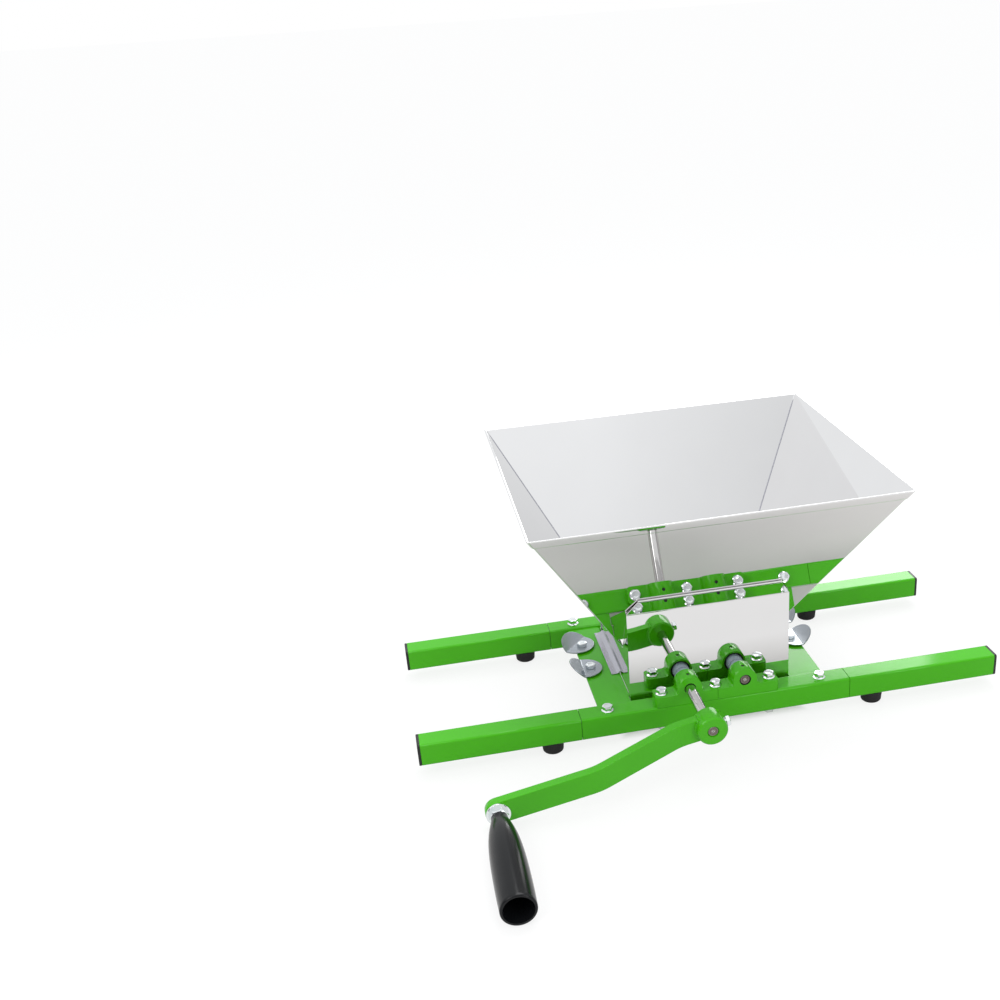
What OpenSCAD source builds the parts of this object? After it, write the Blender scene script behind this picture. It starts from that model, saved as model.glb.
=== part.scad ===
// Hand-cranked apple scratter: two toothed rollers under a sheet hopper, on a
// frame of square tube with four plug-in legs. Millimetres, Z up. Each piece is
// drawn about the point on the floor midway between the rails and the rollers,
// and then placed so that the origin is under the middle of the whole part.

/* [Frame] */
// Overall length along the rails, end caps included
frame_length = 636; // [560:1:760]
// Distance between the centre lines of the front and rear rail
rail_spacing = 203; // [198:1:215]
// Outer width of the square tube
tube = 25; // [24:0.5:28]
// Wall of the square tube
tube_wall = 2; // [1.5:0.1:2.5]
// Length of each middle rail tube, from seam to seam
centre_length = 294; // [280:1:310]
// Width of each cross plate that ties the two rails together
cross_plate_w = 34; // [32:1:40]
// Height of the rubber feet, from the floor to the tube
foot_height = 13; // [9:1:20]
// Largest diameter of a rubber foot
foot_d = 24; // [18:1:25]
// Distance of the feet from the middle, to the left and to the right
foot_reach = 177.5; // [165:0.5:200]

/* [Hopper] */
// Width of the rim along the rails, hem included
rim_width = 386; // [374:1:408]
// Depth of the rim from front to rear, hem included
rim_depth = 344; // [334:1:356]
// Height of the rim above the floor
rim_height = 263.5; // [250:0.5:290]
// Thickness of the hopper sheet
sheet = 1.2; // [0.8:0.1:1.5]
// Height of the folded hem under the rim
hem_height = 10; // [6:1:16]
// Outer width of the box that closes round the rollers
chamber_width = 174; // [168:1:176]

/* [Rollers] */
// Distance between the two roller shafts
shaft_spacing = 60; // [59:0.5:64]
// Height of the shafts above the top of the rails
shaft_rise = 18; // [17:0.5:21]
// Diameter of both shafts
shaft_d = 11; // [9:0.5:12]
// Diameter over the tips of the roller teeth
roller_d = 69; // [66:0.5:70]
// Number of teeth on each roller
teeth = 8; // [6:1:8]

/* [Bearing blocks] */
// Distance between neighbouring bearing bolts
bolt_pitch = 59; // [56:0.5:60]
// Outer diameter of a bearing barrel
barrel_d = 26; // [22:0.5:28]
// Thickness of the bolted flange
flange_t = 12; // [8:0.5:13]
// Size of a bearing block along the shaft
block_depth = 19.5; // [18:0.5:22]

/* [Crank] */
// Distance from the shaft to the grip's axis
crank_radius = 223; // [190:1:235]
// Distance from the front of the rail to the front face of the hub
hub_overhang = 86; // [80:1:100]
// Diameter of the crank hub
hub_d = 31; // [26:0.5:36]
// Length of the crank hub
hub_length = 23; // [20:1:28]
// Height of the crank arm's flat bar
arm_height = 24.5; // [20:0.5:28]
// Thickness of the crank arm's flat bar
arm_t = 10; // [8:0.5:12]
// How far the outer half of the arm is set out from the inner half
arm_offset = 30; // [24:1:36]
// Length of the grip
grip_length = 132; // [110:1:140]
// Largest diameter of the grip
grip_d = 34.4; // [30:0.2:36]

/* [Lock discs] */
// Diameter of a lock disc
disc_d = 40; // [37:0.5:42]
// Distance from a disc's bolt to its centre
disc_eccentric = 7; // [5:0.5:8]
// Upward bend of a disc's finger lip
lip_angle = 37; // [25:1:50]

/* [Hidden] */
$fn = 48;

// Colours
green = [0.24, 0.62, 0.11];
steel = [0.78, 0.79, 0.80];
zinc = [0.82, 0.84, 0.86];
dark_steel = [0.55, 0.56, 0.58];
cast_metal = [0.70, 0.71, 0.72];
black = [0.05, 0.05, 0.06];
nylon = [0.74, 0.76, 0.80];

// Fits and small clearances
touch_gap = 0.3;
slide_gap = 0.2;
running_fit = 0.05;
bolt_gap = 0.15;
overrun = 1;

// Levels
rail_top = foot_height + tube;
shaft_z = rail_top + shaft_rise;
cross_plate_t = 2.5;
cross_plate_drop = 2.5;
cross_plate_inset = 4;
cross_plate_top = rail_top - cross_plate_drop;

// Rails, legs and feet
rail_y = rail_spacing / 2;
rail_front = rail_y + tube / 2;
rail_back = rail_y - tube / 2;
tube_corner = 2.5;
seam_gap = 0.5;
cap_t = 3;
cap_plug_l = 12;
leg_start = centre_length / 2 + seam_gap;
leg_end = frame_length / 2 - cap_t;
connector_reach = 60;
connector_side = tube - 2 * tube_wall - 2 * slide_gap;
connector_wall = 2;
connector_corner = 1;
lock_bolt_inset = 30;
foot_taper = 1;
foot_edge = 1.5;
stud_d = 5;
stud_depth = 5;
stud_over = 2.5;
stud_tip = foot_height + tube_wall + connector_wall + stud_over;

// M6 fasteners
bolt_d = 6;
hex_af = 10;
head_h = 4;
washer_d = 13;
washer_rim = 0.6;
washer_h = 1.6;
nut_h = 5;
hex_chamfer = 0.9;
hex_chamfer_run = 1.5;
bolt_tail = 1;
lock_bolt_l = 9;

// Hopper shell
chamber_half_w = chamber_width / 2;
apron_gap = 5;
chamber_half_d = rail_back - apron_gap;
hem_gap = 0.3;
hem_t = sheet + hem_gap;
shell_rise = 23.5;
shell_base = shaft_z + shell_rise;
shell_height = rim_height - shell_base;
taper = (rim_width / 2 - hem_t - chamber_half_w) / shell_height;
slope = atan(taper);
wall_t = sheet / cos(slope);
rear_rim = chamber_half_d + taper * shell_height;
front_rim = rim_depth - 2 * hem_t - rear_rim;
roller_room = 4;
front_wall_base = shaft_z + roller_d / 2 + roller_room;

// Aprons and skirts
apron_lift = 7;
apron_base = foot_height + apron_lift;
apron_stand_off = 3.4;
apron_top = rim_height - (front_rim - chamber_half_d + apron_stand_off) / taper;
apron_half_w = chamber_half_w + sheet;
return_depth = 8;
lean_less = 3;
lean = slope - lean_less;
lean_height = 18;
lean_chamfer = 11;
lean_roll_d = 3;
shaft_slot_gap = 1;
shaft_slot_w = shaft_d + 2 * shaft_slot_gap;
skirt_gap = 0.5;
skirt_base = cross_plate_top + skirt_gap;
ear_drop = 2;
strip_front = -28;
strip_rear = 72;
strip_reach = 10;
strip_flat = 6;
strip_rise = 2.5;

// Bearing blocks, bushes and seals
seam_half_gap = 0.2;
flange_overhang = 8.3;
flange_half_w = bolt_pitch + flange_overhang;
fillet_r = 3;
flange_corner = 4;
bush_wall = 2;
bush_d = shaft_d + 2 * bush_wall;
bush_set_in = 3;
bush_collar = 1.5;
bush_collar_d = bush_d + 2 * bush_collar;
mouth_gap = 0.75;
ring_t = 2.5;
ring_d = 22;
ring_set_in = 1;
oil_hole_d = 4;
oil_hole_set = 9;

// Rollers and shafts
roller_end_gap = 4;
roller_half_l = chamber_half_d - sheet - roller_end_gap;
tip_clearance = 3;
root_r = shaft_spacing - roller_d / 2 - tip_clearance;
tip_half_angle = 40 / teeth;
root_half_angle = 128 / teeth;
shaft_chamfer = 0.6;
shaft_set_in = 1;
shaft_rear_end = rail_front - shaft_set_in;
centre_hole_d = 3;
centre_hole_depth = 2;
pin_d = 5;
pin_set = 15;
pin_sink = 1;

// Crank
hub_front = -rail_front - hub_overhang;
hub_back = hub_front + hub_length;
hub_bore_gap = 0.7;
hub_bore_lead = 2;
hub_edge = 1.5;
arm_set_in = 4;
arm_back = hub_back - arm_set_in;
arm_bend_in = 34;
arm_bend_out = 122;
arm_bend_r = 50;
arm_bend_steps = 6;
grip_floor_gap = 0.2;
rest_angle = asin((shaft_z - grip_d / 2 - grip_floor_gap) / crank_radius);
grip_plane = arm_back - arm_offset;
arm_front = grip_plane - arm_t;
spindle_d = 10;
grip_washer_d = 24;
grip_washer_t = 2;
grip_nut_af = 17;
grip_nut_h = 6;
grip_play = 0.4;
grip_start = arm_front - grip_washer_t - grip_nut_h - grip_play;
grip_end = grip_start - grip_length;
grip_bore_d = spindle_d + 2 * running_fit;
cup_wall = 3.2;
cup_d = grip_d - 2 * cup_wall;
cup_depth_share = 0.4;
cup_depth = cup_depth_share * grip_length;
spindle_head_d = 16;
spindle_head_h = 6;
set_screw_l = 9;
set_screw_lift = 1;
set_screw_y = hub_front + hub_length / 2;

// Lock discs
disc_t = 1.5;
disc_lift = sheet + touch_gap;
disc_z = cross_plate_top + disc_lift;
disc_fold = 9.2;
disc_steps = 72;
disc_bore = bolt_d + 2 * running_fit;
disc_bolt_set = 30;
disc_bolt_x = chamber_half_w + disc_bolt_set;
disc_bolt_front = -9;
disc_bolt_rear = 43;
spacer_d = 12;
disc_head_gap = 0.1;

// Middle of the whole part from front to rear
centre_y = (rear_rim + hem_t + grip_end) / 2;

module placed() translate([0, -centre_y, 0]) children();

// Outlines

module rounded_square(side, r) {
    square([side, side - 2 * r], center = true);
    square([side - 2 * r, side], center = true);
    for (sx = [-1, 1], sy = [-1, 1])
        translate([sx * (side / 2 - r), sy * (side / 2 - r)]) circle(r);
}

// A bar along X with the outline of its child
module along_x(x0, x1) {
    translate([x0, 0, 0]) rotate([90, 0, 90]) linear_extrude(x1 - x0) children();
}

// A bar along Y whose child is drawn in X and Z
module along_y(y0, y1) {
    translate([0, y1, 0]) rotate([90, 0, 0]) linear_extrude(y1 - y0) children();
}

module rod_y(d, y0, y1) {
    translate([0, y0, 0]) rotate([-90, 0, 0]) cylinder(d = d, h = y1 - y0);
}

module square_tube(x0, x1, side, wall, r) {
    along_x(x0, x1) difference() {
        rounded_square(side, r);
        square(side - 2 * wall, center = true);
    }
}

// Fasteners

module hex_prism(af, h) {
    corner = af / 2 / cos(30);
    intersection() {
        cylinder(d = 2 * corner, h = h, $fn = 6);
        rotate_extrude() polygon([
            [0, 0], [corner, 0], [corner, h - hex_chamfer],
            [corner - hex_chamfer_run, h], [0, h]
        ]);
    }
}

// Hex bolt with the underside of its head at the origin, pointing down
module hex_bolt(l) {
    hex_prism(hex_af, head_h);
    translate([0, 0, -l]) cylinder(d = bolt_d, h = l);
}

// The same bolt with the round washer face of a flanged head under its hex
module flanged_bolt(l) {
    translate([0, 0, washer_h]) hex_bolt(l + washer_h);
    rotate_extrude() polygon([
        [0, 0], [washer_d / 2, 0], [washer_d / 2, washer_rim], [hex_af / 2, washer_h],
        [0, washer_h]
    ]);
}

module hex_nut(af, h, bore) {
    difference() {
        hex_prism(af, h);
        translate([0, 0, -h]) cylinder(d = bore, h = 3 * h);
    }
}

module at_bearing_bolts() {
    for (sy = [-1, 1], k = [-1, 0, 1])
        translate([k * bolt_pitch, sy * bolt_line(), 0]) children();
}

function bolt_line() = rail_front - block_depth / 2;

module at_lock_bolts() {
    for (sx = [-1, 1], sy = [-1, 1])
        translate([sx * (centre_length / 2 - lock_bolt_inset), sy * rail_y, 0]) children();
}

module at_feet() {
    for (sx = [-1, 1], sy = [-1, 1])
        translate([sx * foot_reach, sy * rail_y, 0]) children();
}

// The four lock disc bolts, with the turn of each disc's finger lip
disc_places = [
    [-disc_bolt_x, disc_bolt_front, 178], [-disc_bolt_x, disc_bolt_rear, 138],
    [disc_bolt_x, disc_bolt_front, -1], [disc_bolt_x, disc_bolt_rear, 20]
];

module at_disc_bolts() {
    for (p = disc_places) translate([p[0], p[1], 0]) children();
}

// Frame

module rail(side) {
    color(green) difference() {
        translate([0, side * rail_y, foot_height + tube / 2])
            square_tube(-centre_length / 2, centre_length / 2, tube, tube_wall, tube_corner);
        at_bearing_bolts() cylinder(d = bolt_d + 2 * bolt_gap, h = 2 * rail_top);
        at_lock_bolts() translate([0, 0, foot_height + tube / 2])
            cylinder(d = bolt_d, h = tube);
    }
}

module front_rail() { rail(-1); }
module rear_rail() { rail(1); }

module cross_plate(side) {
    color(green) difference() {
        translate([
            side * (chamber_half_w + cross_plate_inset + cross_plate_w / 2), 0,
            cross_plate_top - cross_plate_t / 2
        ]) cube([cross_plate_w, 2 * rail_back, cross_plate_t], center = true);
        at_disc_bolts() cylinder(d = bolt_d + 2 * bolt_gap, h = rail_top);
    }
}

module left_cross_plate() { cross_plate(-1); }
module right_cross_plate() { cross_plate(1); }

module leg(sx, sy) {
    color(green) difference() {
        translate([0, sy * rail_y, foot_height + tube / 2]) mirror([sx < 0 ? 1 : 0, 0, 0])
            square_tube(leg_start, leg_end, tube, tube_wall, tube_corner);
        at_feet() cylinder(d = stud_d, h = foot_height + tube / 2);
    }
}

module front_left_leg() { leg(-1, -1); }
module front_right_leg() { leg(1, -1); }
module rear_left_leg() { leg(-1, 1); }
module rear_right_leg() { leg(1, 1); }

module leg_connectors() {
    color(dark_steel) difference() {
        for (sx = [-1, 1], sy = [-1, 1])
            translate([sx * centre_length / 2, sy * rail_y, foot_height + tube / 2]) square_tube(
                -connector_reach, connector_reach, connector_side, connector_wall, connector_corner
            );
        at_lock_bolts() translate([0, 0, rail_top - tube / 2]) cylinder(d = bolt_d, h = tube);
        at_feet() cylinder(d = stud_d, h = foot_height + tube / 2);
    }
}

module leg_end_caps() {
    color(black) for (sx = [0, 1], sy = [-1, 1])
        mirror([sx, 0, 0]) translate([0, sy * rail_y, foot_height + tube / 2]) {
            along_x(leg_end, leg_end + cap_t) rounded_square(tube, tube_corner);
            along_x(leg_end - cap_plug_l, leg_end) rounded_square(connector_side, connector_corner);
        }
}

module rubber_feet() {
    color(black) at_feet() difference() {
        rotate_extrude() polygon([
            [0, 0], [foot_d / 2 - foot_taper - foot_edge, 0],
            [foot_d / 2 - foot_taper, foot_edge], [foot_d / 2, foot_height], [0, foot_height]
        ]);
        translate([0, 0, foot_height - stud_depth]) cylinder(d = stud_d, h = foot_height);
    }
}

module foot_studs() {
    color(zinc) at_feet() translate([0, 0, foot_height - stud_depth])
        cylinder(d = stud_d, h = stud_tip - foot_height + stud_depth);
}

module leg_lock_bolts() {
    color(zinc) at_lock_bolts() translate([0, 0, rail_top]) flanged_bolt(lock_bolt_l);
}

// Bearing blocks

// Front view of one block: flange, barrel and the two fillets between them
module block_face() {
    barrel_x = shaft_spacing / 2;
    fill = fillet_r;
    difference() {
        union() {
            translate([seam_half_gap, 0]) square([flange_half_w - seam_half_gap, flange_t]);
            translate([barrel_x, shaft_rise]) circle(d = barrel_d);
            translate([barrel_x - barrel_d / 2, 0]) square([barrel_d, shaft_rise]);
            difference() {
                translate([barrel_x - barrel_d / 2 - fill, flange_t - overrun])
                    square([barrel_d + 2 * fill, fill + overrun]);
                for (s = [-1, 1])
                    translate([barrel_x + s * (barrel_d / 2 + fill), flange_t + fill]) circle(fill);
            }
        }
        translate([-barrel_d, 0]) square([barrel_d + seam_half_gap, 2 * barrel_d]);
    }
}

// The right block of the front pair
module bearing() {
    y0 = -rail_front;
    color(green) difference() {
        intersection() {
            translate([0, 0, rail_top]) along_y(y0, y0 + block_depth) block_face();
            linear_extrude(2 * rail_top) union() {
                translate([0, y0]) square([flange_half_w - flange_corner, block_depth]);
                translate([0, y0 + flange_corner])
                    square([flange_half_w, block_depth - 2 * flange_corner]);
                for (y = [y0 + flange_corner, y0 + block_depth - flange_corner])
                    translate([flange_half_w - flange_corner, y]) circle(flange_corner);
            }
        }
        at_bearing_bolts() cylinder(d = bolt_d + 2 * bolt_gap, h = 3 * rail_top);
        translate([shaft_spacing / 2, 0, shaft_z]) {
            rod_y(bush_d, y0 + bush_set_in, 0);
            rod_y(shaft_d + 2 * mouth_gap, y0 - overrun, y0 + bush_set_in);
            rod_y(ring_d, y0 + block_depth - ring_set_in - ring_t, 0);
        }
        translate([shaft_spacing / 2, y0 + oil_hole_set, shaft_z])
            cylinder(d = oil_hole_d, h = barrel_d);
    }
}

module front_right_bearing() { bearing(); }
module front_left_bearing() { mirror([1, 0, 0]) bearing(); }
module rear_right_bearing() { mirror([0, 1, 0]) bearing(); }
module rear_left_bearing() { mirror([0, 1, 0]) mirror([1, 0, 0]) bearing(); }

module bearing_bolts() {
    color(zinc) at_bearing_bolts() translate([0, 0, rail_top + flange_t])
        flanged_bolt(flange_t + tube + nut_h + bolt_tail);
}

module bearing_nuts() {
    color(zinc) at_bearing_bolts() translate([0, 0, foot_height - nut_h])
        hex_nut(hex_af, nut_h, bolt_d);
}

// The four places where a shaft passes a rail, seen from the front
module at_shaft_ends() {
    for (sx = [-1, 1], sy = [0, 1])
        mirror([0, sy, 0]) translate([sx * shaft_spacing / 2, 0, shaft_z]) children();
}

module shaft_bushes() {
    y0 = -rail_front;
    color(nylon) at_shaft_ends() difference() {
        union() {
            rod_y(bush_d, y0 + bush_set_in, ring_front());
            rod_y(bush_collar_d, ring_front(), -chamber_half_d - touch_gap);
        }
        rod_y(shaft_d + 2 * running_fit, y0, 0);
        translate([0, y0 + oil_hole_set, 0]) cylinder(d = oil_hole_d, h = bush_d);
    }
}

// Where the seal ring lies in the rear of the front blocks
function ring_front() = -rail_front + block_depth - ring_set_in - ring_t;

module seal_rings() {
    color(black) at_shaft_ends() difference() {
        rod_y(ring_d, ring_front(), ring_front() + ring_t);
        rod_y(bush_collar_d, -rail_front, 0);
    }
}

// Hopper

// Distance of a wall's outer face from the middle at height z, for its distance at the rim
function wall_at(rim, z) = rim - taper * (rim_height - z);

// Section of one sloping wall with its folded hem: distance from the middle, then height
module wall_section(rim, base) {
    hem_base = rim_height - hem_height;
    polygon([
        [wall_at(rim, base), base], [wall_at(rim, hem_base), hem_base],
        [wall_at(rim, hem_base) + hem_t, hem_base], [rim + hem_t, rim_height],
        [rim - wall_t, rim_height], [wall_at(rim, base) - wall_t, base]
    ]);
}

// Upright wedge between the mitres of a wall that is half_l long each way at the rim
module mitre_wedge(rim, half_l) {
    far = rim + hem_t + overrun;
    linear_extrude(rim_height + overrun)
        polygon([[-half_l - overrun, far], [half_l + overrun, far], [0, far - half_l - overrun]]);
}

// A wall that slopes out towards the rear
module long_wall(rim, base) {
    color(steel) intersection() {
        along_x(-rim_width, rim_width) wall_section(rim, base);
        mitre_wedge(rim, rim_width / 2);
    }
}

// The wall on the left, whose ends lie at the front and rear rims
module end_wall() {
    rim = rim_width / 2 - hem_t;
    middle = (rear_rim - front_rim) / 2;
    color(steel) translate([0, middle, 0]) rotate([0, 0, 90]) intersection() {
        along_x(-rim_depth, rim_depth) wall_section(rim, shell_base);
        mitre_wedge(rim, rim_depth / 2);
    }
}

module hopper_rear_wall() { long_wall(rear_rim, shell_base); }
module hopper_front_wall() { mirror([0, 1, 0]) long_wall(front_rim, front_wall_base); }
module hopper_left_wall() { end_wall(); }
module hopper_right_wall() { mirror([1, 0, 0]) end_wall(); }

// Upright sheet with its slots for the shafts and its two side returns
module apron_sheet(top) {
    y0 = -chamber_half_d;
    along_y(y0, y0 + sheet) difference() {
        translate([-apron_half_w, apron_base]) square([2 * apron_half_w, top - apron_base]);
        for (s = [-1, 1]) translate([s * shaft_spacing / 2, shaft_z]) {
            circle(d = shaft_slot_w);
            translate([-shaft_slot_w / 2, -shaft_z]) square([shaft_slot_w, shaft_z]);
        }
    }
    for (s = [0, 1]) mirror([s, 0, 0])
        along_x(chamber_half_w, apron_half_w) intersection() {
            translate([y0 + sheet, apron_base]) square([return_depth, top - apron_base]);
            polygon([
                [y0, apron_base], [0, apron_base], [-wall_y(shell_base), shell_base],
                [-wall_y(rim_height), rim_height]
            ]);
        }
}

// Nearest that a sheet may come to the front wall at height z
function wall_y(z) = wall_at(front_rim, z) + touch_gap;

module front_apron() {
    color(steel) {
        apron_sheet(apron_top);
        apron_flange();
    }
}

// Top of the front apron, leaning forward along the hopper's front wall
module apron_flange() {
    y0 = -chamber_half_d;
    run = lean_height * tan(lean);
    intersection() {
        along_x(-apron_half_w, apron_half_w) polygon([
            [y0, apron_top], [y0 - run, apron_top + lean_height],
            [y0 - run + sheet / cos(lean), apron_top + lean_height], [y0 + sheet, apron_top]
        ]);
        along_y(y0 - 2 * run, y0 + return_depth) polygon([
            [-apron_half_w, 0], [apron_half_w, 0], [apron_half_w, apron_top],
            [apron_half_w - 2 * lean_chamfer, apron_top + 2 * lean_height],
            [2 * lean_chamfer - apron_half_w, apron_top + 2 * lean_height],
            [-apron_half_w, apron_top]
        ]);
    }
    roll_half_l = apron_half_w - lean_chamfer;
    roll_y = y0 - run + sheet / cos(lean) - lean_roll_d / 2;
    translate([-roll_half_l, roll_y, apron_top + lean_height])
        rotate([0, 90, 0]) cylinder(d = lean_roll_d, h = 2 * roll_half_l);
}

module rear_apron() { color(steel) mirror([0, 1, 0]) apron_sheet(shell_base); }

// Side wall of the roller chamber with the strip that rests on the cross plate
module skirt() {
    depth = chamber_half_d - sheet;
    ear_top = apron_top - ear_drop;
    ear_low = -wall_y(shell_base);
    ear_high = -wall_y(ear_top);
    inner = chamber_half_w - sheet;
    mid = chamber_half_w + strip_reach - strip_flat;
    low = cross_plate_top;
    color(steel) {
        along_x(inner, chamber_half_w) polygon([
            [-depth, skirt_base], [-depth, ear_top], [ear_high, ear_top], [ear_low, shell_base],
            [depth, shell_base], [depth, skirt_base], [strip_rear, skirt_base],
            [strip_rear, low + strip_rise], [strip_front, low + strip_rise],
            [strip_front, skirt_base]
        ]);
        along_y(strip_front, strip_rear) polygon([
            [inner, low + strip_rise], [inner, low + strip_rise + sheet],
            [chamber_half_w, low + strip_rise + sheet], [mid, low + sheet],
            [chamber_half_w + strip_reach, low + sheet], [chamber_half_w + strip_reach, low],
            [mid, low], [chamber_half_w, low + strip_rise]
        ]);
    }
}

module right_skirt() { skirt(); }
module left_skirt() { mirror([1, 0, 0]) skirt(); }

// Lock discs and their fasteners

// Disc drawn about its bolt, with the finger lip toward +X: a bent sheet seen from
// the side, trimmed to the outline that a round disc has once it is bent
module lock_disc(place) {
    translate([place[0], place[1], disc_z]) rotate([0, 0, place[2]]) color(steel) difference() {
        intersection() {
            along_y(-disc_d, disc_d) bent_sheet();
            linear_extrude(disc_d) polygon([for (k = [1:disc_steps])
                bent_point(disc_eccentric, 360 * k / disc_steps)]);
        }
        translate([0, 0, -disc_t]) cylinder(d = disc_bore, h = 3 * disc_t);
    }
}

module bent_sheet() {
    rise = disc_d * [cos(lip_angle), sin(lip_angle)];
    fold = [disc_fold, 0];
    polygon([
        [-disc_d, 0], fold, fold + rise, fold + rise + disc_t * [-sin(lip_angle), cos(lip_angle)],
        [disc_fold - disc_t * tan(lip_angle / 2), disc_t], [-disc_d, disc_t]
    ]);
}

// Plan of one point on the edge of a disc about x = middle, after the fold
function bent_point(middle, a) = let (x = middle + disc_d / 2 * cos(a))
    [min(x, disc_fold) + max(x - disc_fold, 0) * cos(lip_angle), disc_d / 2 * sin(a)];

module front_left_lock_disc() { lock_disc(disc_places[0]); }
module rear_left_lock_disc() { lock_disc(disc_places[1]); }
module front_right_lock_disc() { lock_disc(disc_places[2]); }
module rear_right_lock_disc() { lock_disc(disc_places[3]); }

module lock_disc_bolts() {
    top = disc_z + disc_t + disc_head_gap;
    color(zinc) at_disc_bolts() translate([0, 0, top])
        hex_bolt(top - cross_plate_top + cross_plate_t + nut_h + bolt_tail);
}

module lock_disc_spacers() {
    color(zinc) at_disc_bolts() translate([0, 0, cross_plate_top]) difference() {
        cylinder(d = spacer_d, h = disc_lift);
        translate([0, 0, -disc_lift]) cylinder(d = bolt_d, h = 3 * disc_lift);
    }
}

module lock_disc_nuts() {
    color(zinc) at_disc_bolts()
        translate([0, 0, cross_plate_top - cross_plate_t - nut_h]) hex_nut(hex_af, nut_h, bolt_d);
}

// Rollers

function polar(r, a) = [r * cos(a), r * sin(a)];

// Star outline, phase in degrees
module star(phase) {
    polygon([for (k = [0:teeth - 1], p = [
        [root_r, -root_half_angle], [roller_d / 2, -tip_half_angle],
        [roller_d / 2, tip_half_angle], [root_r, root_half_angle]
    ]) polar(p[0], phase + k * 360 / teeth + p[1])]);
}

module toothed_roller(x, phase) {
    color(cast_metal) translate([x, 0, shaft_z]) difference() {
        along_y(-roller_half_l, roller_half_l) star(phase);
        rod_y(shaft_d, -2 * roller_half_l, 2 * roller_half_l);
        at_roller_pins() cylinder(d = pin_d, h = 2 * roller_d, center = true);
    }
}

module at_roller_pins() {
    for (s = [-1, 1]) translate([0, s * (roller_half_l - pin_set), 0]) children();
}

module roller_shaft(x, front) {
    color(zinc) translate([x, 0, shaft_z]) difference() {
        union() {
            rod_y(shaft_d, front + shaft_chamfer, shaft_rear_end - shaft_chamfer);
            for (e = [[front, 1], [shaft_rear_end, -1]])
                translate([0, e[0], 0]) rotate([-90 * e[1], 0, 0])
                    cylinder(d1 = shaft_d - 2 * shaft_chamfer, d2 = shaft_d, h = shaft_chamfer);
        }
        at_roller_pins() cylinder(d = pin_d, h = roller_d, center = true);
        rod_y(centre_hole_d, front - overrun, front + centre_hole_depth);
    }
}

module roller_pins(x) {
    color(dark_steel) translate([x, 0, shaft_z]) at_roller_pins()
        cylinder(d = pin_d, h = 2 * (root_r - pin_sink), center = true);
}

module drive_roller() { toothed_roller(-shaft_spacing / 2, 0); }
module drive_roller_pins() { roller_pins(-shaft_spacing / 2); }
module drive_shaft() { roller_shaft(-shaft_spacing / 2, hub_front + shaft_set_in); }
module driven_roller() { toothed_roller(shaft_spacing / 2, 180 + 180 / teeth); }
module driven_roller_pins() { roller_pins(shaft_spacing / 2); }
module driven_shaft() { roller_shaft(shaft_spacing / 2, -shaft_rear_end); }

// Crank, drawn with the arm along +X from the shaft

module at_crank() {
    translate([-shaft_spacing / 2, 0, shaft_z]) rotate([0, 180 - rest_angle, 0]) children();
}

module crank_hub() {
    r = hub_d / 2;
    color(green) at_crank() difference() {
        translate([0, hub_front, 0]) rotate([-90, 0, 0]) rotate_extrude() polygon([
            [0, 0], [r - hub_edge, 0], [r, hub_edge], [r, hub_length - hub_edge],
            [r - hub_edge, hub_length], [0, hub_length]
        ]);
        rod_y(shaft_d, hub_front - overrun, hub_back + overrun);
        rod_y(shaft_d + 2 * hub_bore_gap, hub_front - overrun, hub_front + hub_bore_lead);
        translate([0, set_screw_y, 0]) rotate([0, -90, 0])
            cylinder(d = bolt_d, h = hub_d);
    }
}

module hub_set_screw() {
    color(zinc) at_crank()
        translate([-hub_d / 2 - set_screw_lift, set_screw_y, 0]) rotate([0, -90, 0]) {
            hex_prism(hex_af, head_h);
            translate([0, 0, -set_screw_l]) cylinder(d = bolt_d, h = set_screw_l);
        }
}

// One long face of the arm in plan, o in front of the bar's middle line:
// two straight runs and a sloping one, joined by two round bends
function arm_face(o) = let (
    slant = atan(arm_offset / (arm_bend_out - arm_bend_in)),
    t = arm_bend_r * tan(slant / 2),
    y = arm_back - arm_t / 2,
    near = [arm_bend_in - t, y - arm_bend_r],
    far = [arm_bend_out + t, y - arm_offset + arm_bend_r]
) concat(
    [[0, y - o]],
    [for (k = [0:arm_bend_steps]) let (a = slant * k / arm_bend_steps)
        near + (arm_bend_r - o) * [sin(a), cos(a)]],
    [for (k = [arm_bend_steps:-1:0]) let (a = slant * k / arm_bend_steps)
        far - (arm_bend_r + o) * [sin(a), cos(a)]],
    [[crank_radius + arm_height, y - arm_offset - o]]
);

module arm_plan() {
    front = arm_face(arm_t / 2);
    back = arm_face(-arm_t / 2);
    polygon(concat(front, [for (i = [len(back) - 1:-1:0]) back[i]]));
}

module crank_arm() {
    color(green) at_crank() difference() {
        intersection() {
            translate([0, 0, -arm_height / 2]) linear_extrude(arm_height) arm_plan();
            along_y(2 * hub_front, 0) union() {
                translate([0, -arm_height / 2]) square([crank_radius, arm_height]);
                translate([crank_radius, 0]) circle(d = arm_height);
            }
        }
        rod_y(hub_d, hub_front, hub_back);
        translate([crank_radius, 0, 0]) rod_y(spindle_d, 2 * hub_front, 0);
    }
}

module grip_bolt() {
    head = grip_end + cup_depth - spindle_head_h - grip_play;
    color(zinc) at_crank() translate([crank_radius, 0, 0]) {
        rod_y(spindle_d, head + spindle_head_h, grip_plane);
        rod_y(spindle_head_d, head, head + spindle_head_h);
    }
}

module grip_washer() {
    color(zinc) at_crank() translate([crank_radius, 0, 0]) difference() {
        rod_y(grip_washer_d, arm_front - grip_washer_t, arm_front);
        rod_y(spindle_d, 2 * hub_front, 0);
    }
}

module grip_nut() {
    color(zinc) at_crank() translate([crank_radius, arm_front - grip_washer_t, 0])
        rotate([90, 0, 0]) hex_nut(grip_nut_af, grip_nut_h, spindle_d);
}

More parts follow.
